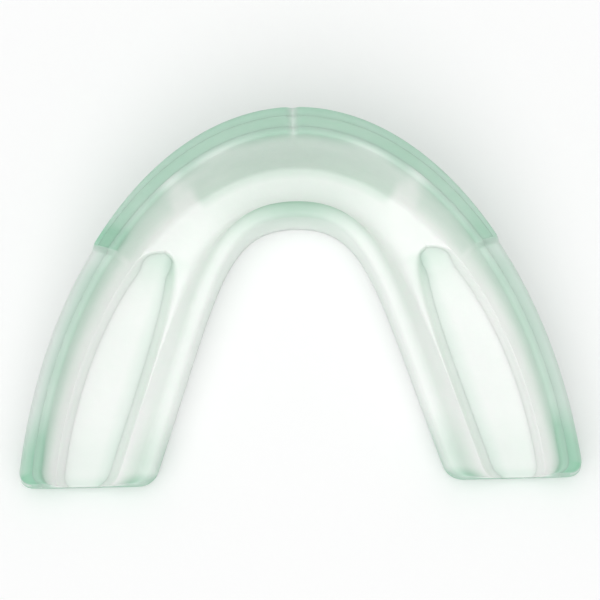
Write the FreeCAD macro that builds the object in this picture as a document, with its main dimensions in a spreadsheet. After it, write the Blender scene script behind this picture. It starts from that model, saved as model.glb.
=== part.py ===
import FreeCAD, Part
import os
import Sketcher
from FreeCAD import Placement, Rotation, Vector

# A mouth guard for contact sports: a U-shaped trough that the upper teeth bite into.
# It lies on its flat underside with the lip side of the front towards +Y and the channel open
# to +Z. The origin is at the middle of its box, on the underside.
#
# Each half of the outer and the inner edge of the underside is one cubic curve from the midline
# to the heel. A place on the arch is a share of that curve, 0 at the midline and 1 at the heel,
# and a cross line joins the two edges at the same place. Every section of every piece is drawn
# on such a cross line: inward distance from the outer edge along it, and height.

# Driving sizes in millimetres. One that ends in front, side and heel changes round the arch: it
# has the front value at the midline, is pulled towards the side value at the premolars and has
# the heel value at the open ends.
SIZES = (
    # outer edge of the underside
    ("outer_front_y", 19.8),
    ("outer_handle_x", 17.2),
    ("outer_side_x", 33.4),
    ("outer_side_y", 0.8),
    ("outer_heel_x", 35.2),
    ("heel_y", -22.2),
    # inner edge of the underside, round the tongue
    ("inner_front_y", 9.9),
    ("inner_handle_x", 9.2),
    ("inner_side_x", 9.8),
    ("inner_side_y", 2.3),
    ("inner_heel_x", 18.4),
    # outer wall: its height and how far its rim stands out beyond the underside
    ("rim_front", 18.0),
    ("rim_side", 11.0),
    ("rim_heel", 10.4),
    ("flare_front", 2.4),
    ("flare_side", -1.8),
    ("flare_heel", -0.9),
    # how much lower the rim is behind the front shield
    ("rim_step", 1.2),
    # thickness of the layers
    ("shell_front", 2.5),
    ("shell_side", 1.2),
    ("shell_heel", 1.6),
    ("skin", 1.3),
    ("shield_wall", 1.3),
    ("shield_foot", 2.6),
    ("liner_front", 0.9),
    ("liner_side", 1.0),
    ("liner_heel", 1.0),
    # foot of the wall inside the channel, from the outer edge
    ("foot_front", 2.4),
    ("foot_side", 5.6),
    ("foot_heel", 4.7),
    # wall along the tongue side
    ("crest_front", 9.0),
    ("crest_side", 6.3),
    ("crest_heel", 5.6),
    ("crest_top_front", 2.0),
    ("crest_top_side", 1.7),
    ("crest_top_heel", 1.6),
    ("tongue_front", 2.4),
    ("tongue_side", 5.8),
    ("tongue_heel", 5.6),
    ("tongue_lean", 0.3),
    # floors of the channel
    ("floor_height", 3.6),
    ("pad_height", 2.4),
    # ledge left round the molar floors, at the foot of both walls
    ("ledge", 0.4),
    # notch over the midline for the frenum of the lip
    ("notch_width", 1.0),
    ("notch_depth", 0.9),
    # bond line between two moulded layers
    ("bond", 0.1),
    # gap between a molar floor and the edge of its window in the lining
    ("pad_gap", 0.25),
    # rounding
    ("heel_round", 1.6),
    ("base_round", 1.2),
    ("crest_round", 0.7),
)

# Places of the sections that carry the long lofts, from the midline to the heel.
ARCH_PLACES = (0.0, 0.125, 0.25, 0.375, 0.5, 0.625, 0.75, 0.875, 1.0)

# The front shield ends at the premolars, and the rim steps down just behind it.
SHIELD_PLACES = (0.0, 0.13, 0.26, 0.39, 0.52)
STEP_PLACES = (0.524, 0.65, 0.78, 0.9, 1.03)

# The floor for the molars opens from a pointed tip to the full channel.
TIP_PLACE = 0.46
TIP_SHARE = 0.15
TIP_POWER = 4
PAD_PLACES = (0.48, 0.53, 0.64, 0.8, 1.0)
WINDOW_PLACES = (0.471,) + PAD_PLACES[1:-1] + (1.03,)

# How far a cut runs past the piece that it cuts.
PAST = 1.0

# Two heights or places closer than this are the same one.
SAME = 0.01

# The most that a rounding takes of the flat top of the tongue wall, as a share of its width.
ROUND_LIMIT = 0.4

RIGHT = 1
LEFT = -1
SIDES = (("right", RIGHT), ("left", LEFT))


# ---- expressions that read the sheet

def weights(place):
    rest = 1 - place
    return rest ** 3, 3 * rest ** 2 * place, 3 * rest * place ** 2, place ** 3


def blend(name, place):
    first, second, third, last = weights(place)
    return (f"(({first + second:.6f}) * dims.{name}_front + ({third:.6f}) * dims.{name}_side"
            f" + ({last:.6f}) * dims.{name}_heel)")


def edge(name, place):
    first, second, third, last = weights(place)
    across = (f"(({second:.6f}) * dims.{name}_handle_x + ({third:.6f}) * dims.{name}_side_x"
              f" + ({last:.6f}) * dims.{name}_heel_x)")
    along = (f"(({first + second:.6f}) * dims.{name}_front_y + ({third:.6f}) * dims.{name}_side_y"
             f" + ({last:.6f}) * dims.heel_y)")
    return across, along


def cross_line(place):
    # x and y of the outer end, then the run to the inner end
    outer_x, outer_y = edge("outer", place)
    inner_x, inner_y = edge("inner", place)
    return outer_x, outer_y, f"({inner_x} - {outer_x})", f"({inner_y} - {outer_y})"


def cross_length(place):
    run_x, run_y = cross_line(place)[2:]
    return f"sqrt({run_x} ^ 2 + {run_y} ^ 2)"


def leaning(place, depth, height):
    # a face that leans with the outer wall, at a depth behind it
    return f"({depth} - {blend('flare', place)} * ({height}) / {blend('rim', place)})"


# ---- sections, as corners in inward distance and height, anticlockwise

def shell_section(place):
    rim = blend("rim", place)
    wall = blend("shell", place)
    reach = cross_length(place)
    # it starts below the underside, which a flat cut then makes
    below = f"-{PAST}"
    return (
        (leaning(place, "0", below), below),
        (reach, below),
        (reach, "dims.skin"),
        (leaning(place, wall, "dims.skin"), "dims.skin"),
        (leaning(place, wall, rim), rim),
        (leaning(place, "0", rim), rim),
    )


def liner_section(place):
    rim = blend("rim", place)
    back = f"{blend('shell', place)} + dims.bond"
    face = f"{back} + {blend('liner', place)}"
    reach = cross_length(place)
    crest = blend("crest", place)
    return (
        (leaning(place, back, "dims.skin + dims.bond"), "dims.skin + dims.bond"),
        (reach, "dims.skin + dims.bond"),
        (f"{reach} - dims.tongue_lean", crest),
        (f"{reach} - dims.tongue_lean - {blend('crest_top', place)}", crest),
        (f"{reach} - {blend('tongue', place)}", "dims.floor_height"),
        (blend("foot", place), "dims.floor_height"),
        (leaning(place, face, rim), rim),
        (leaning(place, back, rim), rim),
    )


def shield_section(place):
    rim = blend("rim", place)
    wall = blend("shell", place)
    foot = "dims.shield_foot + dims.bond"
    back = f"{wall} - dims.shield_wall + dims.bond"
    return (
        (leaning(place, back, foot), foot),
        (leaning(place, wall, foot), foot),
        (leaning(place, wall, rim), rim),
        (leaning(place, back, rim), rim),
    )


def pocket_section(place):
    top = f"{blend('rim', place)} + {PAST}"
    wall = blend("shell", place)
    back = f"{wall} - dims.shield_wall"
    front = f"{wall} + {PAST}"
    return (
        (leaning(place, back, "dims.shield_foot"), "dims.shield_foot"),
        (leaning(place, front, "dims.shield_foot"), "dims.shield_foot"),
        (leaning(place, front, top), top),
        (leaning(place, back, top), top),
    )


def step_section(place):
    low = f"{blend('rim', place)} - dims.rim_step"
    high = f"{blend('rim', place)} + {PAST}"
    near = f"-{blend('flare', place)} - {PAST}"
    far = f"{blend('shell', place)} + {blend('foot', place)}"
    return (near, low), (far, low), (far, high), (near, high)


def pad_edges(place):
    # the two long edges of the molar floor, which close in on its tip
    closed = ((1 - place) / (1 - TIP_PLACE)) ** TIP_POWER
    start = f"({blend('foot', place)} + dims.ledge)"
    room = f"({cross_length(place)} - {blend('tongue', place)} - dims.ledge - {start})"
    near = f"({start} + {closed * TIP_SHARE:.6f} * {room})"
    far = f"({start} + {1 - closed * (1 - TIP_SHARE):.6f} * {room})"
    return near, far


def pad_section(place):
    near, far = pad_edges(place)
    near = f"{near} + dims.pad_gap"
    far = f"{far} - dims.pad_gap"
    low = "dims.skin + dims.bond"
    return (near, low), (far, low), (far, "dims.pad_height"), (near, "dims.pad_height")


def window_section(place):
    near, far = pad_edges(place)
    low = f"dims.skin - {PAST}"
    high = f"dims.floor_height + {PAST}"
    return (near, low), (far, low), (far, high), (near, high)


# ---- building

def make_sheet(document):
    sheet = document.addObject("Spreadsheet::Sheet", "dims")
    for row, (name, size) in enumerate(SIZES, 1):
        sheet.set(f"A{row}", name)
        sheet.set(f"B{row}", str(size))
        sheet.setAlias(f"B{row}", name)
    document.recompute()
    return sheet


def make_body(document, name):
    body = document.addObject("PartDesign::Body", name)
    body.Label = name
    return body


def new_sketch(body, name, role="XZ_Plane"):
    sketch = body.newObject("Sketcher::SketchObject", name)
    plane = [item for item in body.Origin.OriginFeatures if item.Role == role][0]
    sketch.AttachmentSupport = [(plane, "")]
    sketch.MapMode = "FlatFace"
    return sketch


def draw_corners(sketch, corners):
    # a closed run of straight lines, each corner held at its distance and height
    points = [Vector(*[float(sketch.evalExpression(value)) for value in corner]) for corner in corners]
    count = len(points)
    lines = [Part.LineSegment(points[i], points[(i + 1) % count]) for i in range(count)]
    sketch.addGeometry(lines, False)
    for i, (distance, height) in enumerate(corners):
        sketch.addConstraint(Sketcher.Constraint("Coincident", i, 2, (i + 1) % count, 1))
        across = sketch.addConstraint(Sketcher.Constraint("DistanceX", -1, 1, i, 1, points[i].x))
        sketch.setExpression(f"Constraints[{across}]", distance)
        upward = sketch.addConstraint(Sketcher.Constraint("DistanceY", -1, 1, i, 1, points[i].y))
        sketch.setExpression(f"Constraints[{upward}]", height)


def draw_section(body, name, place, side, corners):
    # an upright sketch on the cross line at a place, turned to run inward
    sketch = new_sketch(body, name)
    sketch.AttachmentOffset = Placement(Vector(), Rotation(Vector(0, 1, 0), 1))
    outer_x, outer_y, run_x, run_y = cross_line(place)
    sketch.setExpression("AttachmentOffset.Base.x", f"{side} * {outer_x}")
    sketch.setExpression("AttachmentOffset.Base.z", f"-1 * {outer_y}")
    sketch.setExpression("AttachmentOffset.Rotation.Angle", f"atan2({run_y}; {side} * {run_x})")
    draw_corners(sketch, corners)
    return sketch


def across_arch(places):
    # stations from the right-hand end round the front to the left-hand end
    right = [(place, RIGHT) for place in reversed(places)]
    left = [(place, LEFT) for place in places[1:]]
    return right + left


def one_side(places, side):
    # stations of one arm, in the same turning direction as the whole arch
    ordered = reversed(places) if side == RIGHT else places
    return [(place, side) for place in ordered]


def add_loft(body, kind, name, stations, section):
    sketches = [
        draw_section(body, f"{name}_{number}", place, side, section(place))
        for number, (place, side) in enumerate(stations)
    ]
    loft = body.newObject(f"PartDesign::{kind}Loft", name)
    loft.Profile = sketches[0]
    loft.Sections = sketches[1:]
    body.Document.recompute()
    return loft


def cut_underside(body):
    # takes off all that lies below the ground plane, so that the underside is flat
    sketch = new_sketch(body, "underside_outline", "XY_Plane")
    across = f"dims.outer_heel_x + {PAST}"
    front = f"dims.outer_front_y + dims.flare_front + {PAST}"
    back = f"dims.heel_y - {PAST}"
    draw_corners(sketch, (
        (f"-({across})", back),
        (across, back),
        (across, front),
        (f"-({across})", front),
    ))
    cut = body.newObject("PartDesign::Pocket", "underside_cut")
    cut.Profile = sketch
    cut.Type = "ThroughAll"
    body.Document.recompute()


def cut_notch(body):
    # a V across the rim at the midline
    sketch = new_sketch(body, f"{body.Label}_notch_outline")
    rim = "dims.rim_front"
    draw_corners(sketch, (
        ("0", f"{rim} - dims.notch_depth"),
        (f"dims.notch_width * (dims.notch_depth + {PAST}) / (2 * dims.notch_depth)", f"{rim} + {PAST}"),
        (f"-dims.notch_width * (dims.notch_depth + {PAST}) / (2 * dims.notch_depth)", f"{rim} + {PAST}"),
    ))
    notch = body.newObject("PartDesign::Pocket", f"{body.Label}_notch")
    notch.Profile = sketch
    notch.Type = "ThroughAll"
    notch.Midplane = True
    body.Document.recompute()


def size(body, expression):
    return float(body.evalExpression(expression))


def ends(line):
    return line.Vertexes[0].Point, line.Vertexes[-1].Point


def at_height(line, height):
    return all(abs(point.z - height) < SAME for point in ends(line))


def crosses_midline(line):
    first, last = ends(line)
    return first.x * last.x < 0


def heel_corners(body, lowest):
    # the steep edges of the open ends that stand on the lowest face, on the cheek and tongue sides
    heel_y = size(body, "dims.heel_y")
    corners = size(body, "dims.outer_heel_x"), size(body, "dims.inner_heel_x")

    def chosen(line):
        low, high = sorted(ends(line), key=lambda point: point.z)
        at_heel = max(abs(low.y - heel_y), abs(high.y - heel_y)) < SAME
        at_corner = min(abs(abs(low.x) - corner) for corner in corners) < SAME
        return at_heel and at_corner and low.z < lowest + SAME and high.z > low.z + SAME
    return chosen


def outside_outline(body):
    # the edge of the underside that runs round the whole outside
    middle = size(body, "(dims.outer_heel_x + dims.inner_heel_x) / 2")

    def chosen(line):
        return at_height(line, 0) and crosses_midline(line) and line.BoundBox.XMax > middle
    return chosen


def crest_lines(body):
    # the two long edges along the top of the tongue wall
    height = size(body, "dims.crest_heel")

    def chosen(line):
        return at_height(line, height) and crosses_midline(line)
    return chosen


def round_edges(body, name, radius, chosen):
    # rounds the edges of the body's last feature that the test picks
    base = body.Tip
    names = [f"Edge{i}" for i, line in enumerate(base.Shape.Edges, 1) if chosen(line)]
    fillet = body.newObject("PartDesign::Fillet", name)
    fillet.Base = (base, names)
    fillet.setExpression("Radius", radius)
    body.Document.recompute()


def outer_shell(document):
    body = make_body(document, "outer_shell")
    add_loft(body, "Additive", "shell_form", across_arch(ARCH_PLACES), shell_section)
    cut_underside(body)
    pocket_places = SHIELD_PLACES[:-1] + (STEP_PLACES[0],)
    add_loft(body, "Subtractive", "shield_pocket", across_arch(pocket_places), pocket_section)
    for name, side in SIDES:
        add_loft(body, "Subtractive", f"shell_step_{name}", one_side(STEP_PLACES, side), step_section)
    cut_notch(body)
    round_edges(body, "shell_heels", "dims.heel_round", heel_corners(body, 0))
    round_edges(body, "shell_base", "dims.base_round", outside_outline(body))
    return body


def front_shield(document):
    body = make_body(document, "front_shield")
    add_loft(body, "Additive", "shield_form", across_arch(SHIELD_PLACES), shield_section)
    cut_notch(body)
    return body


def fit_liner(document):
    body = make_body(document, "fit_liner")
    add_loft(body, "Additive", "liner_form", across_arch(ARCH_PLACES), liner_section)
    for name, side in SIDES:
        add_loft(body, "Subtractive", f"liner_step_{name}", one_side(STEP_PLACES, side), step_section)
        add_loft(body, "Subtractive", f"window_{name}", one_side(WINDOW_PLACES, side), window_section)
    cut_notch(body)
    underside = size(body, "dims.skin + dims.bond")
    round_edges(body, "liner_heels", "dims.heel_round", heel_corners(body, underside))
    limit = f"{ROUND_LIMIT} * min(dims.crest_top_side; dims.crest_top_heel)"
    round_edges(body, "liner_crest", f"min(dims.crest_round; {limit})", crest_lines(body))
    return body


def molar_pad(document, name, side):
    body = make_body(document, f"molar_pad_{name}")
    add_loft(body, "Additive", f"pad_form_{name}", one_side(PAD_PLACES, side), pad_section)
    return body


def check(document, bodies):
    for item in document.Objects:
        if "Invalid" in item.State or "Error" in item.State:
            raise RuntimeError(f"{item.Label} failed: {item.State}")
    for body in bodies:
        shape = body.Shape
        if shape.isNull() or not shape.isValid() or shape.Volume <= 0 or len(shape.Solids) != 1:
            raise RuntimeError(f"{body.Label} has no sound solid")


def main():
    document = FreeCAD.newDocument("mouth_guard")
    make_sheet(document)
    bodies = [outer_shell(document), front_shield(document), fit_liner(document)]
    bodies += [molar_pad(document, name, side) for name, side in SIDES]
    document.recompute()
    check(document, bodies)
    os.makedirs("parts", exist_ok=True)
    for body in bodies:
        body.Shape.exportStep(f"parts/{body.Label}.step")
        box = body.Shape.optimalBoundingBox(False, False)
        print(f"{body.Label}: {body.Shape.Volume:.1f} mm3, x {box.XMin:.2f} {box.XMax:.2f},"
              f" y {box.YMin:.2f} {box.YMax:.2f}, z {box.ZMin:.2f} {box.ZMax:.2f}")


main()
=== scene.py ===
import math

import bpy
import numpy as np
from mathutils import Matrix, Vector


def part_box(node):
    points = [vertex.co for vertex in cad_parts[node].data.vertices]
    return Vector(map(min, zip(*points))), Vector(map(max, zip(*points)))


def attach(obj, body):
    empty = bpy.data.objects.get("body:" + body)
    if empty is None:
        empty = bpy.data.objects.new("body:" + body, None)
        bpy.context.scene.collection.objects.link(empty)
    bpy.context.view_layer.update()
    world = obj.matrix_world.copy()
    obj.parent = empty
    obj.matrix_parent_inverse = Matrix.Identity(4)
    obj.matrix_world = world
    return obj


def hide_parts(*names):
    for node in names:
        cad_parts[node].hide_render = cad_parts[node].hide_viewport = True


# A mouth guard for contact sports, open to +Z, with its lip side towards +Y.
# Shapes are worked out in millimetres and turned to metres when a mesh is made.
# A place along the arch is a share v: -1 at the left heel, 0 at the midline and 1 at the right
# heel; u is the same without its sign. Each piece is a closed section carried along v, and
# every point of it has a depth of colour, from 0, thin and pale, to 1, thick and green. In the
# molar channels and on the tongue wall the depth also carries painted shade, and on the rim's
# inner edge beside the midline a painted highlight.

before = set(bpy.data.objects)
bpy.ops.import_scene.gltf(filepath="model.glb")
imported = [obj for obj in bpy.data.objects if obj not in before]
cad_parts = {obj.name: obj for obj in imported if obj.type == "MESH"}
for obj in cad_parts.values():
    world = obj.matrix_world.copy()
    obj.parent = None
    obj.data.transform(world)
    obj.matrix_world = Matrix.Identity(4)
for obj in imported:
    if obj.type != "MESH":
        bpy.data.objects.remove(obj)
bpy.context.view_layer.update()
mm = 0.001

# Seen from above, half of each edge of the underside is one cubic curve from midline to heel.
# The widest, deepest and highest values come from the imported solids.
shellLow, shellHigh = [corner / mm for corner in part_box("outer_shell")]
archPlan = {
    "heelY": shellLow.y,
    "rimY": shellHigh.y,
    "rimTop": shellHigh.z,
    "halfWidth": shellHigh.x + 0.3,  # the rounded underside hides this much of the edge
    "outerHandle": 17.2,             # x of the outer curve's first handle, level with its front
    "outerSide": (33.4, 0.8),        # its second handle
    "innerFront": 9.9,               # y of the inner curve at the midline
    "innerHandle": 9.2,
    "innerSide": (9.8, 2.3),
    "innerHeel": 18.4,               # its x at the heel
    "heelPace": 73,                  # millimetres to a unit of u there, midway between the edges
    "step": (0.524, 0.012),          # u where the rim steps down, and over what share
}

# how many rows of points each stretch of the arch gets
meshRows = {
    "arch": 300,                     # evenly from heel to heel
    "shield": 200,
    "floor": 110,
    "heel": 9,                       # over a rounded end
    "shieldEnd": 6,
    "floorEnd": 7,
    "notch": (0.025, 31),            # up to this u on both sides, and how many
    "step": (-0.3, 1.3, 9),          # from and to, in lengths of the rim's step, and how many
    "tip": (0.05, 14),               # reach behind the tip of the molar channel, and how many
}


# the four weights of a cubic curve at u
def cubicWeights(u):
    rest = 1 - u
    return rest ** 3, 3 * rest ** 2 * u, 3 * rest * u ** 2, u ** 3


# a size that has the front value at the midline, leans to the side value and ends at the heel value
def around(u, front, side, heel):
    first, second, third, last = cubicWeights(u)
    return (first + second) * front + third * side + last * heel


# 0 before start, 1 after start + length, and a smooth S between
def ease(value, start, length):
    share = np.clip((value - start) / length, 0, 1)
    return share * share * (3 - 2 * share)


# a bell curve: e to the power of minus the square of the distance from the centre in widths
def bell(value, centre, width):
    return np.exp(-((value - centre) / width) ** 2)


# outer point, inward unit direction and width of the cross line at each place v:
# the outer and inner edges are cubic curves in u, mirrored for negative v
def crossLines(v):
    plan = archPlan
    u, side = np.abs(v), np.where(v < 0, -1.0, 1.0)
    first, second, third, last = cubicWeights(u)
    front = first + second
    outerFront = plan["rimY"] - wallShape["flare"][0]
    outerSide, innerSide = plan["outerSide"], plan["innerSide"]
    outer = np.stack([
        side * (second * plan["outerHandle"] + third * outerSide[0] + last * plan["halfWidth"]),
        front * outerFront + third * outerSide[1] + last * plan["heelY"]], -1)
    inner = np.stack([
        side * (second * plan["innerHandle"] + third * innerSide[0] + last * plan["innerHeel"]),
        front * plan["innerFront"] + third * innerSide[1] + last * plan["heelY"]], -1)
    run = inner - outer
    width = np.linalg.norm(run, axis=-1)
    return outer, run / width[:, None], width


# rows over a rounded end: even steps of the angle whose sine is the share of the end passed
def endPlaces(last, endShare, count):
    angle = np.linspace(0, math.pi / 2, count)[1:]
    return last - endShare + endShare * np.sin(angle)


# rows behind the tip of the molar channel: start plus the reach times the square of even steps
def tipPlaces(start):
    reach, count = meshRows["tip"]
    return start + reach * np.linspace(0, 1, count) ** 2


# places of a piece from -last to last: even steps, with more rows at the notch, at the rim's
# steps, at the channels' tips and over the rounded ends, whose reach is given as a share
def placesAlong(last, count, endShare, endRows):
    even = np.linspace(-last + endShare, last - endShare, count)
    step, length = archPlan["step"]
    before, after, stepRows = meshRows["step"]
    reach, notchRows = meshRows["notch"]
    extra = np.concatenate([
        np.linspace(step + before * length, step + after * length, stepRows),
        tipPlaces(linerShape["tip"])])
    extra = extra[extra < last - endShare]
    ends = endPlaces(last, endShare, endRows)
    notch = np.linspace(-reach, reach, notchRows)
    return np.unique(np.concatenate([even, notch, extra, -extra, ends, -ends]).round(7))


# how far the section is drawn in at each place for a quarter-round end of the given radius:
# radius times one minus the cosine of the angle whose sine is the share of the end passed
def endInset(v, last, endShare, radius):
    passed = np.clip((np.abs(v) - (last - endShare)) / endShare, 0, 1)
    return radius * (1 - np.sqrt(np.clip(1 - passed ** 2, 0, 1)))


# rounds the free end of a piece: seen from above, both edges close in by the inset, and all
# distances between shrink in the same ratio; seen from the side, top and bottom close in by a
# share of it
def roundEnd(corners, inset, width, riseShare=0.3):
    closed = corners.copy()
    ratio = 1 - 2 * inset / width
    closed[..., 0] = inset[:, None] + corners[..., 0] * ratio[:, None]
    low = corners[..., 1].min(1, keepdims=True)
    high = corners[..., 1].max(1, keepdims=True)
    rise = riseShare * inset[:, None]
    closed[..., 1] = low + rise + (corners[..., 1] - low) * (1 - 2 * rise / (high - low))
    return closed


# rounds the corners of every section: a corner becomes a quadratic curve that starts and ends at
# the given reach along its two edges, or at most of the way to the middle of a shorter edge,
# and straight stretches get a few points between
def roundSections(corners, reach, cornerSteps=7, edgeSteps=4, most=0.48):
    toBefore = np.roll(corners, 1, axis=1) - corners
    toAfter = np.roll(corners, -1, axis=1) - corners
    lengthBefore = np.linalg.norm(toBefore[..., :2], axis=-1) + 1e-9
    lengthAfter = np.linalg.norm(toAfter[..., :2], axis=-1) + 1e-9
    reach = np.minimum(reach, most * np.minimum(lengthBefore, lengthAfter))
    start = corners + toBefore * (reach / lengthBefore)[..., None]
    end = corners + toAfter * (reach / lengthAfter)[..., None]
    t = np.linspace(0, 1, cornerSteps)[:, None]
    curve = ((1 - t) ** 2 * start[:, :, None] + 2 * t * (1 - t) * corners[:, :, None]
             + t ** 2 * end[:, :, None])
    s = np.linspace(0, 1, edgeSteps + 2)[1:-1, None]
    line = (1 - s) * end[:, :, None] + s * np.roll(start, -1, axis=1)[:, :, None]
    rows = np.concatenate([curve, line], axis=2)
    return rows.reshape(len(corners), -1, corners.shape[-1])


# carries the sections along the arch: point = outer point + direction times inward distance,
# at the section's height; the two ends are closed by one flat face each
def sweepMesh(name, v, sections):
    outer, direction = crossLines(v)[:2]
    count, ring = sections.shape[:2]
    points = np.empty((count, ring, 3))
    points[..., :2] = outer[:, None] + direction[:, None] * sections[..., :1]
    points[..., 2] = sections[..., 1]
    here = np.arange(count * ring).reshape(count, ring)
    beside = np.roll(here, -1, axis=1)
    quads = np.stack([here[:-1], here[1:], beside[1:], beside[:-1]], -1).reshape(-1, 4)
    faces = quads.tolist() + [here[0].tolist(), here[-1][::-1].tolist()]
    mesh = bpy.data.meshes.new(name)
    mesh.from_pydata((points.reshape(-1, 3) * mm).tolist(), [], faces)
    smooth = np.ones(len(faces), bool)
    smooth[-2:] = False
    mesh.polygons.foreach_set("use_smooth", smooth)
    depth = mesh.attributes.new("depth", "FLOAT", "POINT")
    depth.data.foreach_set("value", sections[..., 2].ravel())
    mesh.validate()
    mesh.update()
    piece = bpy.data.objects.new(name, mesh)
    bpy.context.scene.collection.objects.link(piece)
    return piece


def addPiece(piece, material, slot, *nodes):
    piece.data.materials.append(material)
    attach(piece, "root")
    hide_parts(*nodes)
    triangles = sum(len(face.vertices) - 2 for face in piece.data.polygons)
    print(piece.name, "made,", triangles, "triangles")
    return piece


# stacks corners of inward distance, height and depth of colour, each an array over the places
# or a plain number, into an array of places, corners and these three
def stackCorners(v, *corners):
    plain = np.zeros_like(v)
    return np.stack([np.stack([plain + part for part in corner], -1) for corner in corners], 1)


# the wall that the layers share; where there are three values, they are for front, side and heel
wallShape = {
    "rim": (11.0, 10.4),             # heights at the side and heel; the front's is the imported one
    "flare": (2.4, -1.8, -0.9),      # how far the rim stands out beyond the underside
    "drop": 1.2,                     # how far the rim steps down behind the front
    "notch": (0.5, 0.45),            # half width and depth, over the frenum of the lip
    "shell": (2.5, 1.2, 1.6),        # thickness, with the shield's in it at the front
    "shield": 1.3,
    "liner": (0.9, 1.0, 1.0),
    "bite": 0.03,                    # how far bonded layers reach into each other
}


# everything about the wall at each place, by name
def wallAt(v):
    u = np.abs(v)
    shape = wallShape
    outer, _, width = crossLines(v)
    halfNotch, notchDepth = shape["notch"]
    behind = ease(u, *archPlan["step"])
    full = around(u, archPlan["rimTop"], *shape["rim"])
    atNotch = bell(outer[:, 0], 0, halfNotch)
    return {
        "u": u,
        "behind": behind,
        "atNotch": atNotch,
        "full": full,
        "rim": full - shape["drop"] * behind - notchDepth * atNotch,
        "flare": around(u, *shape["flare"]),
        "shell": around(u, *shape["shell"]),
        "liner": around(u, *shape["liner"]),
        "width": width,
    }


# inward distance at a height of a face that leans with the wall, at a depth behind its outside
def leaning(wall, depth, height):
    return depth - wall["flare"] * height / wall["full"]


# the outer shell: underside skin and outer wall; its greens are depths of colour
shellShape = {
    "skin": 1.3,
    "heelRound": 1.7,                # seen from above
    "rounds": (1.7, 0.5, 0.2, 0.3, 0.02, 0.7, 0.5),   # at each corner of the section in turn
    "faceHeight": 0.8,               # share of the wall's height where its outside has a point
    "fill": (-0.002, 0.0015),        # from the shield's end, where the wall fills up behind it
    "green": (0.75, 0.5, 0.55),      # at the front, side and heel
    "baseShare": 0.8,                # of the outside's green, at its foot
    "skinShare": 0.3,                # of the wall's green, where the wall meets the skin
    "skinGreens": (0.1, 0.2),        # at the lower and upper inner edge of the skin
    "notchGreen": 0.4,               # how much paler shell and shield are at the notch
    "fringes": (0.45, 0.25),         # how much paler the edge is behind the front, left and right
    "bandEnd": (0.505, 0.03),        # bell curves on the two sides of the rim's step
    "afterBand": (0.55, 0.02),
    "endGreens": (0.4, 0.1),         # how much deeper the band's left and right end are
    "afterGreen": 0.1,
    "heelGreen": 0.75,
    "heelArm": (0.86, 0.1),          # where green gathers slowly along the arm
    "heelArmShare": 0.6,
    "heelEnd": (0.978, 0.02),        # and quickly in the rounded end
}


# the front band is deepest just before its end, more so on the left, and light comes through
# just behind it: two bell curves on either side of the rim's step
def bandEnd(v):
    u = np.abs(v)
    shape = shellShape
    stepPlace = archPlan["step"][0]
    before = bell(u, *shape["bandEnd"]) * (u < stepPlace)
    after = bell(u, *shape["afterBand"]) * (u > stepPlace)
    return np.where(v < 0, *shape["endGreens"]) * before - shape["afterGreen"] * after


# colour gathers in the rounded ends of the heels: a slow rise along the arm and a quick one
def heelGreen(u):
    shape = shellShape
    arm = shape["heelArmShare"] * ease(u, *shape["heelArm"])
    return shape["heelGreen"] * (arm + ease(u, *shape["heelEnd"]))


def makeShell(material):
    shape = shellShape
    endShare = shape["heelRound"] / archPlan["heelPace"]
    v = placesAlong(1, meshRows["arch"], endShare, meshRows["heel"])
    wall = wallAt(v)
    u = wall["u"]
    fillStart, fillLength = shape["fill"]
    filled = ease(u, shieldShape["last"] + fillStart, fillLength)
    thickness = wall["shell"] - wallShape["shield"] * (1 - filled)
    green = around(u, *shape["green"])
    rimGreen = green + bandEnd(v) - shape["notchGreen"] * wall["atNotch"] + heelGreen(u)
    paler = np.where(v < 0, *shape["fringes"]) * wall["behind"]
    faceGreen = green * (1 - paler)
    lowGreen, highGreen = shape["skinGreens"]
    faceHeight = shape["faceHeight"] * wall["rim"]
    corners = stackCorners(
        v,
        (0, 0, shape["baseShare"] * faceGreen + heelGreen(u)),
        (wall["width"], 0, lowGreen + heelGreen(u)),
        (wall["width"], shape["skin"], highGreen + heelGreen(u)),
        (leaning(wall, thickness, shape["skin"]), shape["skin"], shape["skinShare"] * green),
        (leaning(wall, thickness, wall["rim"]), wall["rim"], rimGreen),
        (leaning(wall, 0, wall["rim"]), wall["rim"], rimGreen - paler),
        (leaning(wall, 0, faceHeight), faceHeight, faceGreen))
    inset = endInset(v, 1, endShare, shape["heelRound"])
    sections = roundSections(roundEnd(corners, inset, wall["width"]), shape["rounds"])
    return addPiece(sweepMesh("shell", v, sections), material, "tinted_shell", "outer_shell")


# the front shield, between shell and lining
shieldShape = {
    "last": 0.523,                   # u where it ends
    "foot": 2.6,                     # height where it starts
    "proud": 0.02,                   # of the rim beside it
    "endShare": 1 / 90,              # closer rows over this much of u before each end
    "green": 0.78,
    "footGreen": 0.4,
    "rounds": (0.3, 0.3, 0.02, 0.02),
}


def makeShield(material):
    shape = shieldShape
    v = placesAlong(shape["last"], meshRows["shield"], shape["endShare"], meshRows["shieldEnd"])
    wall = wallAt(v)
    front = wall["shell"] - wallShape["shield"] - wallShape["bite"]
    back = wall["shell"] + wallShape["bite"]
    top = wall["rim"] + shape["proud"]
    green = shape["green"] + bandEnd(v) - shellShape["notchGreen"] * wall["atNotch"]
    corners = stackCorners(
        v,
        (leaning(wall, front, shape["foot"]), shape["foot"], shape["footGreen"]),
        (leaning(wall, back, shape["foot"]), shape["foot"], shape["footGreen"]),
        (leaning(wall, back, top), top, green),
        (leaning(wall, front, top), top, green))
    sections = roundSections(corners, shape["rounds"])
    return addPiece(sweepMesh("shield", v, sections), material, "tinted_shield", "front_shield")


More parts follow.
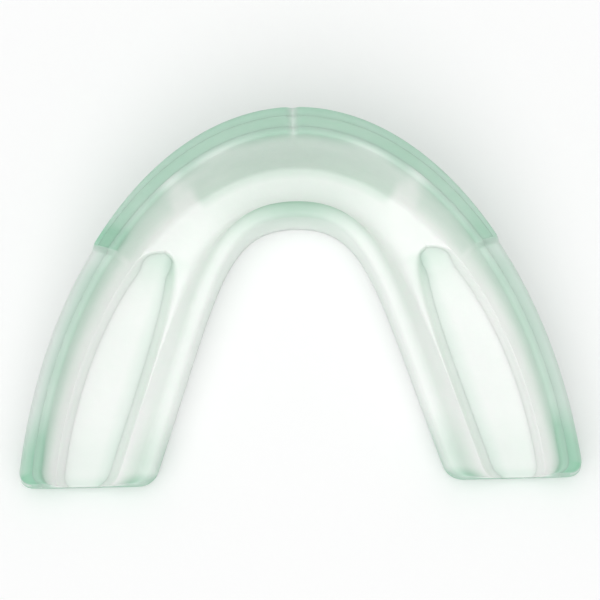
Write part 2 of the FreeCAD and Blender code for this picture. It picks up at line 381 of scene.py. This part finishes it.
# the lining of the wall, the raised front floor, the tongue wall and the channels' slopes
linerShape = {
    "bottom": 1.3,
    "floor": 3.6,                    # height of the front floor
    "foot": (2.4, 5.6, 4.7),         # inward distance of the wall's foot
    "crest": (9.0, 6.3, 5.6),        # height of the tongue wall
    "crestTop": (2.0, 1.7, 1.6),     # its thickness there
    "tongue": (2.4, 5.0, 4.5),       # its thickness at the floor
    "tongueLean": 0.3,
    "wallShares": (0.4, 0.78),       # heights of the points where the wall's colour turns
    "channelBottom": 1.5,
    "tip": 0.46,                     # u where a molar channel starts
    "tipShare": 0.3,                 # where across the floor it starts
    "tipPower": 4,
    "tipRoot": 0.47,
    "tipLength": 0.045,              # share in which it opens to the wall
    "leastOpen": 0.15,               # keeps the surface's rows apart on the front floor
    "sink": (-0.005, 0.03),          # from the tip, where the channel goes down
    "ledge": 0.05,                   # beside the channel on both sides
    "slopes": (1.3, 1.9),            # reach of the slopes at the wall and at the tongue
    "leastSlopes": (0.3, 0.45),      # their most, as shares of a narrow channel
    "hollows": (0.28, 0.6, 0.95, 0.33),   # two points of a slope, as shares of reach and height
    "rounds": (0.2, 0.2, 0.8, 0.9, 0.8, 1.2, 0.9, 0.1, 0.1, 0.1, 0.1, 0.6, 0.9, 0.8,
               1.5, 1.5, 0.6, 0.02),
    "softFoot": (4, 1.6, 0.3, 0.4),  # corner of the tongue's foot, its extra round, and where
    "green": {                       # depths of colour, and the places where they change
        "floor": 0.03,
        "under": 0.3,
        "rim": (0.9, 0.72, 0.72),
        "notch": 0.3,                # how much paler the rim is there
        "shoulderHighlight": 0.45,            # painted highlight: how much paler its inner edge is beside the midline
        "shoulderHighlightPlace": (0.2, 0.07),
        "incisor": 0.49,
        "incisorEnd": (0.275, 0.03),
        "incisorFoot": 0.85,         # share that reaches the foot
        "fold": (0.325, 0.03),       # at the canine
        "foldPaler": (0.35, 0.38),   # at the rim and on the wall
        "premolar": (0.345, 0.025),
        "premolarEnd": (0.515, 0.012),
        "low": (0.16, 0.24),         # low on the wall, and what the premolars add
        "high": 0.6,
        "tongue": 0.14,
        "tongueFrontShade": (0.52, 0.25),   # painted shade that its front adds, and how wide that is
        "tongueHeel": 0.5,           # share of the heel's green that it gets
        "creaseShadeShare": 1.3,           # of the tongue's, on the crest's outer edge: painted shade in the crease there
        # painted shade on the molar channel's slopes, added to the floor's depth
        "slot": 0.35,
        "slotShadeShares": (0.2, 0.7, 1, 1, 0.5, 0.5, 0.3),   # shares of that painted shade across it from the tongue side
        "tip": (0.6, 0.08),          # painted shade that the channel's tip adds, and how far
    },
}


# the two long edges of the molar channel: seen from the tip, the tongue side opens as a root of
# what the fourth power of the way left to the heel leaves of 1, and the wall side as a parabola
def channelEdges(wall):
    shape = linerShape
    u = wall["u"]
    left = np.clip((1 - u) / (1 - shape["tip"]), 0, 1)
    tongueClosed = 1 - (1 - left ** shape["tipPower"]) ** shape["tipRoot"]
    wallClosed = np.clip(1 - (u - shape["tip"]) / shape["tipLength"], 0, 1) ** 2
    start = around(u, *shape["foot"]) + shape["ledge"]
    room = wall["width"] - around(u, *shape["tongue"]) - shape["ledge"] - start
    near = start + wallClosed * shape["tipShare"] * room
    far = start + (1 - tongueClosed * (1 - shape["tipShare"])) * room
    return near, np.maximum(far, near + shape["leastOpen"])


# how far the channel's two sides slope in on their way down, less where it is narrow
def channelLean(near, far):
    leans = zip(linerShape["slopes"], linerShape["leastSlopes"])
    return [np.minimum(reach, share * (far - near)) for reach, share in leans]


# painted shade behind the channel's round tip: a bell curve that starts there
def tipShade(u):
    amount, width = linerShape["green"]["tip"]
    return amount * bell(u, linerShape["tip"], width)


# depths of colour up the wall: deep over the incisors, broken off at the canines where light
# crosses the fold, and deep only near the rim from there to the heel. The rim's inner edge beside
# the midline is made paler, a painted highlight.
def wallGreens(v, wall):
    u, green = wall["u"], linerShape["green"]
    incisors = 1 - ease(u, *green["incisorEnd"])
    premolars = ease(u, *green["premolar"]) * (1 - ease(u, *green["premolarEnd"]))
    fold = bell(u, *green["fold"])
    rimPaler, wallPaler = green["foldPaler"]
    lowAll, lowPremolar = green["low"]
    rim = around(u, *green["rim"]) - rimPaler * fold + heelGreen(u)
    rim = rim - green["notch"] * wall["atNotch"] + bandEnd(v)
    # a painted highlight: the rim's inner edge is paler beside the midline
    edge = rim - green["shoulderHighlight"] * bell(u, *green["shoulderHighlightPlace"])
    high = green["high"] + (green["incisor"] - green["high"]) * incisors - wallPaler * fold
    low = lowAll + (green["incisor"] - lowAll) * incisors + lowPremolar * premolars
    foot = green["floor"] + (green["incisorFoot"] * green["incisor"] - green["floor"]) * incisors
    return foot, low, high, edge, rim


def makeLiner(material):
    shape = linerShape
    endShare = shellShape["heelRound"] / archPlan["heelPace"]
    v = placesAlong(1, meshRows["arch"], endShare, meshRows["heel"])
    wall = wallAt(v)
    u = wall["u"]
    back = wall["shell"] - wallShape["bite"]
    bottom = shape["bottom"] - wallShape["bite"]
    foot = around(u, *shape["foot"])
    tongue = wall["width"] - around(u, *shape["tongue"])
    crestInner = wall["width"] - shape["tongueLean"]
    crestOuter = crestInner - around(u, *shape["crestTop"])
    crest = around(u, *shape["crest"])
    rimInner = leaning(wall, wall["shell"] + wall["liner"], wall["rim"])
    rimOuter = leaning(wall, back, wall["rim"])
    wallRun, wallRise = rimInner - foot, wall["rim"] - shape["floor"]
    lowShare, highShare = shape["wallShares"]
    near, far = channelEdges(wall)
    nearLean, farLean = channelLean(near, far)
    sinkStart, sinkLength = shape["sink"]
    opened = ease(u, shape["tip"] + sinkStart, sinkLength)
    depth = shape["floor"] - (shape["floor"] - shape["channelBottom"]) * opened
    highRun, highRise, lowRun, lowRise = shape["hollows"]
    highPoint = depth + highRise * (shape["floor"] - depth)
    lowPoint = depth + lowRise * (shape["floor"] - depth)
    footGreen, lowGreen, highGreen, edgeGreenHighlighted, rimGreen = wallGreens(v, wall)
    green = shape["green"]
    floorGreen = green["floor"]
    underGreen = green["under"] + heelGreen(u)
    slotShade = (green["slot"] + tipShade(u)) * opened   # painted shade on the channel's slopes and behind its tip, added to the floor's
    slotGreensWithShade = [floorGreen + share * slotShade for share in green["slotShadeShares"]]
    # the tongue wall's depth of colour, with painted shade added at its front
    frontShade, frontWidth = green["tongueFrontShade"]
    tongueGreenAndShade = green["tongue"] + frontShade * bell(u, 0, frontWidth)
    tongueGreenAndShade = tongueGreenAndShade + green["tongueHeel"] * heelGreen(u)
    corners = stackCorners(
        v,
        (leaning(wall, back, bottom), bottom, underGreen),
        (wall["width"], bottom, underGreen),
        (crestInner, crest, tongueGreenAndShade),
        (crestOuter, crest, green["creaseShadeShare"] * tongueGreenAndShade),
        (tongue, shape["floor"], floorGreen),
        (far, shape["floor"], slotGreensWithShade[0]),
        (far - farLean * highRun, highPoint, slotGreensWithShade[1]),
        (far - farLean * lowRun, lowPoint, slotGreensWithShade[2]),
        (far - farLean, depth, slotGreensWithShade[3]),
        (near + nearLean, depth, slotGreensWithShade[4]),
        (near + nearLean * lowRun, lowPoint, slotGreensWithShade[5]),
        (near + nearLean * highRun, highPoint, slotGreensWithShade[6]),
        (near, shape["floor"], floorGreen),
        (foot, shape["floor"], footGreen),
        (foot + lowShare * wallRun, shape["floor"] + lowShare * wallRise, lowGreen),
        (foot + highShare * wallRun, shape["floor"] + highShare * wallRise, highGreen),
        (rimInner, wall["rim"], edgeGreenHighlighted),
        (rimOuter, wall["rim"], rimGreen))
    softCorner, softer, softStart, softLength = shape["softFoot"]
    reach = np.tile(shape["rounds"], (len(v), 1))
    reach[:, softCorner] += softer * ease(u, softStart, softLength)
    inset = endInset(v, 1, endShare, shellShape["heelRound"])
    sections = roundSections(roundEnd(corners, inset, wall["width"]), reach)
    return addPiece(sweepMesh("lining", v, sections), material, "clear_liner", "fit_liner")


# the molar floors
padShape = {
    "gap": 0.003,                    # share between the channel's tip and a floor's
    "evenRows": 0.055,               # from the floor's tip, where its even rows start
    "top": 2.4,
    "rise": (0.5, 0.08),             # how much higher it starts, and over what share
    "bite": (0.35, 0.3),             # how far it reaches under the slopes, and its most, a share
    "bend": 0.35,                    # share across, where the painted shade on its tongue side ends
    "rounds": (0.05, 0.05, 0.02, 0.3, 0.02),
    "green": 0.05,
    "tongueGreenAndShade": 0.6,              # painted shade that its tongue side adds
    "heelShare": 0.4,                # of the heel's green
}


# one molar floor, whose edges lie under the channel's slopes; side is 1 for right, -1 for left
def makePad(material, name, node, side):
    shape = padShape
    channel = linerShape
    endShare = shellShape["heelRound"] / archPlan["heelPace"]
    start = channel["tip"] + shape["gap"]
    u = np.concatenate([
        tipPlaces(start),
        np.linspace(start + shape["evenRows"], 1 - endShare, meshRows["floor"]),
        endPlaces(1, endShare, meshRows["floorEnd"])])
    v = u if side > 0 else -u[::-1]
    wall = wallAt(v)
    near, far = channelEdges(wall)
    nearLean, farLean = channelLean(near, far)
    riseShare, riseLength = shape["rise"]
    rise = riseShare * (1 - ease(wall["u"], channel["tip"], riseLength))
    top = shape["top"] + (channel["floor"] - shape["top"]) * rise
    bottom = channel["channelBottom"] - wallShape["bite"]
    bite, biteShare = shape["bite"]
    under = np.minimum(bite, biteShare * (far - near))
    share = 1 - (top - channel["channelBottom"]) / (channel["floor"] - channel["channelBottom"])
    topFar = far - farLean * share + under
    topNear = near + nearLean * share - under
    # the pad's pale depth, with painted shade behind the channel's tip and the heels' green
    green = shape["green"] + tipShade(wall["u"]) + shape["heelShare"] * heelGreen(wall["u"])
    corners = stackCorners(
        v,
        (near + nearLean - under, bottom, green),
        (far - farLean + under, bottom, green),
        (topFar, top, green + shape["tongueGreenAndShade"]),
        (topFar - shape["bend"] * (topFar - topNear), top, green),
        (topNear, top, green))
    inset = endInset(v, 1, endShare, shellShape["heelRound"])
    sections = roundSections(roundEnd(corners, inset, wall["width"], 0.0), shape["rounds"])
    return addPiece(sweepMesh(name, v, sections), material, "clear_pad", node)


# sRGB hex to linear: below 0.04045 a share, above it the power curve
def linearColour(code):
    parts = [int(code[i:i + 2], 16) / 255 for i in (1, 3, 5)]
    return [c / 12.92 if c <= 0.04045 else ((c + 0.055) / 1.055) ** 2.4 for c in parts] + [1.0]


# adds a node with its settings and its linked or fixed inputs, given by name or by number
def addNode(tree, kind, settings=None, **inputs):
    node = tree.nodes.new(kind)
    for key, value in (settings or {}).items():
        setattr(node, key, value)
    for key, value in inputs.items():
        number = key.removeprefix("input")
        socket = node.inputs[int(number) if number.isdigit() else key.replace("_", " ")]
        if isinstance(value, bpy.types.NodeSocket):
            tree.links.new(value, socket)
        else:
            socket.default_value = value
    return node


evaFinish = {
    "cloud": 4.5,                    # millimetres between paler and deeper clouds of colour
    "cloudDepth": 0.08,              # how far they take the colour either way
    # the mould's own grit is too fine to show, so its grain is drawn this coarse
    "grain": 1.4,                    # millimetres
    "grainHeight": 0.0003,           # metres
    "grainStrength": 0.2,
    "roughness": (0.3, 0.42),        # satin, as from a fine-blasted mould
    "ior": 1.48,
    "scatterRadius": (1.0, 1.15, 1.05),
    "scatterScale": 0.001,           # metres
}


# Moulded EVA, satin: light goes into it and comes back softly, and it looks greener where more
# of it lies one behind the other, which the depth attribute gives; that attribute also carries
# painted shade and a painted highlight, set in the pieces' sections. Clear is the share of the
# light that goes straight through, and scatter how much of the rest comes back from inside.
def mouldedEva(name, thin, thick, clear, scatter, tintInside=None, density=0.0):
    finish = evaFinish
    material = bpy.data.materials.new(name)
    material.use_nodes = True
    tree = material.node_tree
    tree.nodes.clear()
    output = addNode(tree, "ShaderNodeOutputMaterial")
    coordinates = addNode(tree, "ShaderNodeTexCoord").outputs["Object"]
    depth = addNode(tree, "ShaderNodeAttribute", {"attribute_name": "depth"}).outputs["Fac"]
    cloud = addNode(
        tree, "ShaderNodeTexNoise",
        Vector=coordinates, Scale=1 / (finish["cloud"] * mm), Detail=2.0)
    uneven = addNode(
        tree, "ShaderNodeMath", {"operation": "MULTIPLY_ADD"},
        input0=cloud.outputs["Fac"], input1=2 * finish["cloudDepth"], input2=depth)
    centred = addNode(
        tree, "ShaderNodeMath", {"operation": "SUBTRACT", "use_clamp": True},
        input0=uneven.outputs[0], input1=finish["cloudDepth"])
    tint = addNode(
        tree, "ShaderNodeMix", {"data_type": "RGBA"},
        input0=centred.outputs[0], input6=linearColour(thin), input7=linearColour(thick))
    grain = addNode(
        tree, "ShaderNodeTexNoise",
        Vector=coordinates, Scale=1 / (finish["grain"] * mm), Detail=2.0)
    smoothest, roughest = finish["roughness"]
    sheen = addNode(
        tree, "ShaderNodeMapRange",
        Value=grain.outputs["Fac"], To_Min=smoothest, To_Max=roughest)
    bump = addNode(
        tree, "ShaderNodeBump",
        Strength=finish["grainStrength"], Distance=finish["grainHeight"],
        Height=grain.outputs["Fac"])
    surface = addNode(
        tree, "ShaderNodeBsdfPrincipled",
        Base_Color=tint.outputs[2], Roughness=sheen.outputs["Result"], IOR=finish["ior"],
        Transmission_Weight=clear, Subsurface_Weight=scatter,
        Subsurface_Radius=finish["scatterRadius"], Subsurface_Scale=finish["scatterScale"],
        Normal=bump.outputs["Normal"])
    if tintInside:
        inside = addNode(
            tree, "ShaderNodeVolumeAbsorption", Color=linearColour(tintInside), Density=density)
        tree.links.new(inside.outputs["Volume"], output.inputs["Volume"])
    tree.links.new(surface.outputs["BSDF"], output.inputs["Surface"])
    return material


stageShape = {
    "distance": 0.33,
    "tilt": 8.0,                     # degrees from straight above, on the open side
    "aim": (0.0, 0.0, 0.004),
    "sensor": 36.0,                  # millimetres
    "frameWidth": 0.0749,            # what the picture spans at the object
    "nearest": 0.01,                 # where the camera starts to see
    "roll": 1.25,                    # degrees
    "shift": (-0.00037, 0.00044),
    "floorSize": 1.2,
    "airGap": 0.00005,               # keeps the floor off the flat underside
    "roomLight": 0.58,               # share of the light that comes from all round
    "lampWidth": 70.0,               # degrees across, so its shadows are soft
    "lampTurn": (16.0, -5.0, 0.0),   # a little from the open side and the left
}


def makeCamera():
    shape = stageShape
    camera = bpy.data.cameras.new("camera")
    camera.sensor_width = shape["sensor"]
    camera.lens = shape["sensor"] * shape["distance"] / shape["frameWidth"]
    camera.clip_start = shape["nearest"]
    holder = bpy.data.objects.new("camera", camera)
    tilt = Matrix.Rotation(math.radians(shape["tilt"]), 4, "X")
    roll = Matrix.Rotation(-math.radians(shape["roll"]), 4, "Z")
    across, along = shape["shift"]
    aim = Matrix.Translation(Vector(shape["aim"]))
    holder.matrix_world = aim @ tilt @ roll @ Matrix.Translation((-across, along, shape["distance"]))
    bpy.context.scene.collection.objects.link(holder)
    bpy.context.scene.camera = holder


def makeFloor():
    size, below = stageShape["floorSize"], -stageShape["airGap"]
    corners = [(-size, -size, below), (size, -size, below), (size, size, below), (-size, size, below)]
    mesh = bpy.data.meshes.new("floor")
    mesh.from_pydata(corners, [], [(0, 1, 2, 3)])
    floor = bpy.data.objects.new("floor", mesh)
    bpy.context.scene.collection.objects.link(floor)
    # painted board, so matt that no gloss shows on it
    white = bpy.data.materials.new("matt white board")
    white.use_nodes = True
    board = white.node_tree.nodes["Principled BSDF"]
    board.inputs["Base Color"].default_value = linearColour("#ffffff")
    board.inputs["Roughness"].default_value = 1.0
    board.inputs["Specular IOR Level"].default_value = 0.0
    mesh.materials.append(white)


# the room is white where it is seen directly, in gloss or through the shell, dimmer as a light
def makeLight():
    shape = stageShape
    world = bpy.data.worlds.new("studio")
    world.use_nodes = True
    tree = world.node_tree
    background = tree.nodes["Background"]
    background.inputs["Color"].default_value = (1, 1, 1, 1)
    seen = addNode(tree, "ShaderNodeLightPath")
    direct = addNode(
        tree, "ShaderNodeMath", {"operation": "MAXIMUM"},
        input0=seen.outputs["Is Camera Ray"], input1=seen.outputs["Is Glossy Ray"])
    either = addNode(
        tree, "ShaderNodeMath", {"operation": "MAXIMUM"},
        input0=direct.outputs[0], input1=seen.outputs["Is Transmission Ray"])
    strength = addNode(
        tree, "ShaderNodeMapRange",
        Value=either.outputs[0], To_Min=shape["roomLight"], To_Max=1.0)
    tree.links.new(strength.outputs["Result"], background.inputs["Strength"])
    bpy.context.scene.world = world

    lamp = bpy.data.lights.new("overhead", "SUN")
    lamp.energy = (1 - shape["roomLight"]) * math.pi   # a level white surface renders as white
    lamp.angle = math.radians(shape["lampWidth"])
    overhead = bpy.data.objects.new("overhead", lamp)
    overhead.rotation_euler = [math.radians(angle) for angle in shape["lampTurn"]]
    bpy.context.scene.collection.objects.link(overhead)
    bpy.context.scene.view_settings.view_transform = "Standard"


# firm and tinted: some light goes straight through, and the thick of it adds a little green
shellEva = mouldedEva("moulded EVA, tinted", "#fafefb", "#a4dcbe", 0.25, 0.3, "#9fd6b8", 2.0)
# the same, more deeply tinted and milky
shieldEva = mouldedEva("moulded EVA, deep tint", "#eef7f1", "#93c2a8", 0.0, 0.5)
# soft, nearly white where it is thin and grey-green where it is thick; the same grey-green also
# paints shade in its channels and on its tongue wall
linerEva = mouldedEva("moulded EVA, soft and milky", "#fcfefb", "#a2c8b3", 0.0, 0.5)
# the palest, because it is thin everywhere; its deeper colour is painted shade at the channel's tip
# and on its tongue side, and the heels' green
padEva = mouldedEva("moulded EVA, pale floor", "#f5f9f5", "#c9dfd2", 0.0, 0.5)
print("materials made")

makeShell(shellEva)
makeShield(shieldEva)
makeLiner(linerEva)
makePad(padEva, "floorRight", "molar_pad_right", 1)
makePad(padEva, "floorLeft", "molar_pad_left", -1)

makeCamera()
makeFloor()
makeLight()
print("stage made")
